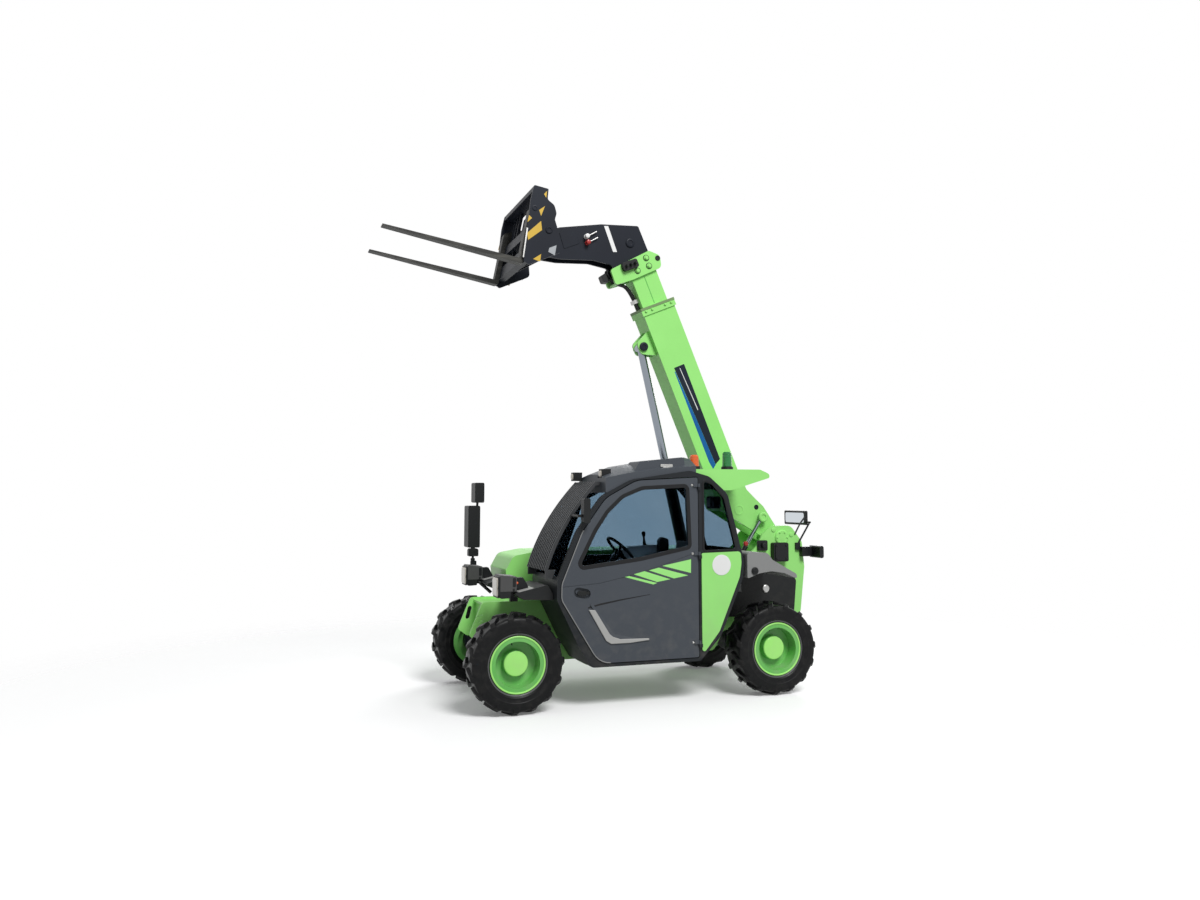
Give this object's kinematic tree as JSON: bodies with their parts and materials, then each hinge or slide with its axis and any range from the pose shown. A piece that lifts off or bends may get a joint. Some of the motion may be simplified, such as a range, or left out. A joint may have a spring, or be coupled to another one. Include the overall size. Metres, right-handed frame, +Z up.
{
  "type": "telehandler",
  "caption": "Compact telescopic handler with a side cab, a raised telescopic boom, a fork carriage and steered wheels.",
  "frame": {"origin": "on the ground under the middle of the whole machine's box", "axes": "+X forwards along the machine, +Y to the left, the cab's side, +Z up"},
  "size_m": [4.3576, 1.97, 4.6498],
  "materials": {
    "paint": "semi gloss",
    "rim_paint": "semi gloss",
    "cab_shell": "satin",
    "cowl_grey": "matt",
    "dark_steel": "satin",
    "fork_steel": "worn",
    "block": "matt",
    "trim_black": "satin",
    "seat_cloth": "woven",
    "glass": "tinted",
    "amber": "clear",
    "green_lens": "clear",
    "barrel": "satin",
    "chrome": "polished",
    "tyre": "matt"
  },
  "bodies": {
    "chassis": {"chassis": "paint", "front_axle": "dark_steel", "rear_axle": "dark_steel", "power_block": "block", "hood_right": "paint", "rear_cowl": "cowl_grey", "arch_liner": "trim_black", "front_cowl": "trim_black", "cab_frame": "cab_shell", "cab_roof": "cab_shell", "roof_fin": "paint", "quarter_panel": "paint", "windscreen": "glass", "cab_glass": "glass", "windscreen_guard": "trim_black", "seat": "seat_cloth", "console": "trim_black", "headlamps": "trim_black", "beacon_amber": "amber", "beacon_green": "green_lens", "mirrors": "trim_black", "rear_lamps": "trim_black"},
    "hood_lid": {"hood_lid": "paint"},
    "door": {"door": "cab_shell", "door_glass": "glass"},
    "boom": {"boom_outer": "paint"},
    "boom_inner": {"boom_inner": "paint", "boom_nose": "dark_steel"},
    "carriage": {"carriage": "dark_steel", "forks": "fork_steel"},
    "lift_barrel": {"lift_barrel": "barrel"},
    "lift_rod": {"lift_rod": "chrome"},
    "level_barrel": {"level_barrel": "barrel"},
    "level_rod": {"level_rod": "chrome"},
    "tilt_barrel": {"tilt_barrel": "barrel"},
    "tilt_rod": {"tilt_rod": "chrome"},
    "knuckle_fl": {"knuckle_fl": "dark_steel"},
    "wheel_fl": {"rim_fl": "rim_paint", "tyre_fl": "tyre"},
    "knuckle_fr": {"knuckle_fr": "dark_steel"},
    "wheel_fr": {"rim_fr": "rim_paint", "tyre_fr": "tyre"},
    "knuckle_rl": {"knuckle_rl": "dark_steel"},
    "wheel_rl": {"rim_rl": "rim_paint", "tyre_rl": "tyre"},
    "knuckle_rr": {"knuckle_rr": "dark_steel"},
    "wheel_rr": {"rim_rr": "rim_paint", "tyre_rr": "tyre"}
  },
  "joints": [
    {"name": "boom_lift", "type": "hinge", "parent": "chassis", "child": "boom", "pos_m": [-1.821, -0.05, 1.394], "axis": [0, -1, 0], "range_deg": [-65.5, 0]},
    {"name": "telescope", "type": "slide", "parent": "boom", "child": "boom_inner", "axis": [0.3827, 0, 0.9239], "range_m": [0, 1.5]},
    {"name": "carriage_tilt", "type": "hinge", "parent": "boom_inner", "child": "carriage", "pos_m": [0.57506, -0.05, 4.19963], "axis": [0, 1, 0], "range_deg": [-70, 50]},
    {"name": "lift_swing", "type": "hinge", "parent": "chassis", "child": "lift_barrel", "pos_m": [-1.01, -0.05, 0.75], "axis": [0, -1, 0], "range_deg": [-71.79, 1]},
    {"name": "lift_slide", "type": "slide", "parent": "lift_barrel", "child": "lift_rod", "axis": [0.2207, 0, 0.9753], "range_m": [-1.1096, 0.004]},
    {"name": "level_swing", "type": "hinge", "parent": "chassis", "child": "level_barrel", "pos_m": [-1.266, 0.135, 0.962], "axis": [0, -1, 0], "range_deg": [-1, 7.91]},
    {"name": "level_slide", "type": "slide", "parent": "level_barrel", "child": "level_rod", "axis": [-0.5366, 0, 0.8438], "range_m": [-0.267, 0.004]},
    {"name": "tilt_swing", "type": "hinge", "parent": "boom_inner", "child": "tilt_barrel", "pos_m": [-0.26006, -0.05, 4.29227], "axis": [0, 1, 0], "range_deg": [-1.9, 1.5]},
    {"name": "tilt_slide", "type": "slide", "parent": "tilt_barrel", "child": "tilt_rod", "axis": [0.9972, 0, 0.0751], "range_m": [-0.1595, 0.1151]},
    {"name": "door_swing", "type": "hinge", "parent": "chassis", "child": "door", "pos_m": [-0.614, 0.918, 1.18], "axis": [0, 0, 1], "range_deg": [0, 100]},
    {"name": "hood_lift", "type": "hinge", "parent": "chassis", "child": "hood_lid", "pos_m": [-0.17, -0.266, 1.277], "axis": [-1, 0, 0], "range_deg": [0, 60]},
    {"name": "steer_fl", "type": "hinge", "parent": "chassis", "child": "knuckle_fl", "pos_m": [1.05, 0.62, 0.415], "axis": [0, 0, 1], "range_deg": [-32, 32]},
    {"name": "spin_fl", "type": "hinge", "parent": "knuckle_fl", "child": "wheel_fl", "pos_m": [1.05, 0.777, 0.415], "axis": [0, 1, 0], "continuous": true},
    {"name": "steer_fr", "type": "hinge", "parent": "chassis", "child": "knuckle_fr", "pos_m": [1.05, -0.62, 0.415], "axis": [0, 0, 1], "range_deg": [-32, 32]},
    {"name": "spin_fr", "type": "hinge", "parent": "knuckle_fr", "child": "wheel_fr", "pos_m": [1.05, -0.777, 0.415], "axis": [0, 1, 0], "continuous": true},
    {"name": "steer_rl", "type": "hinge", "parent": "chassis", "child": "knuckle_rl", "pos_m": [-1.39, 0.62, 0.415], "axis": [0, 0, 1], "range_deg": [-32, 32]},
    {"name": "spin_rl", "type": "hinge", "parent": "knuckle_rl", "child": "wheel_rl", "pos_m": [-1.39, 0.777, 0.415], "axis": [0, 1, 0], "continuous": true},
    {"name": "steer_rr", "type": "hinge", "parent": "chassis", "child": "knuckle_rr", "pos_m": [-1.39, -0.62, 0.415], "axis": [0, 0, 1], "range_deg": [-32, 32]},
    {"name": "spin_rr", "type": "hinge", "parent": "knuckle_rr", "child": "wheel_rr", "pos_m": [-1.39, -0.777, 0.415], "axis": [0, 1, 0], "continuous": true}
  ],
  "couplings": [
    {"joint": "lift_swing", "follows": "boom_lift", "ratio": 1.0808},
    {"joint": "lift_slide", "follows": "boom_lift", "m_per_rad": 0.96716},
    {"joint": "level_swing", "follows": "boom_lift", "ratio": -0.10552},
    {"joint": "level_slide", "follows": "boom_lift", "m_per_rad": 0.23008},
    {"joint": "tilt_swing", "follows": "carriage_tilt", "ratio": 0.02},
    {"joint": "tilt_slide", "follows": "carriage_tilt", "m_per_rad": 0.12732},
    {"joint": "steer_fr", "follows": "steer_fl", "ratio": 1},
    {"joint": "steer_rl", "follows": "steer_fl", "ratio": -1},
    {"joint": "steer_rr", "follows": "steer_fl", "ratio": -1}
  ]
}
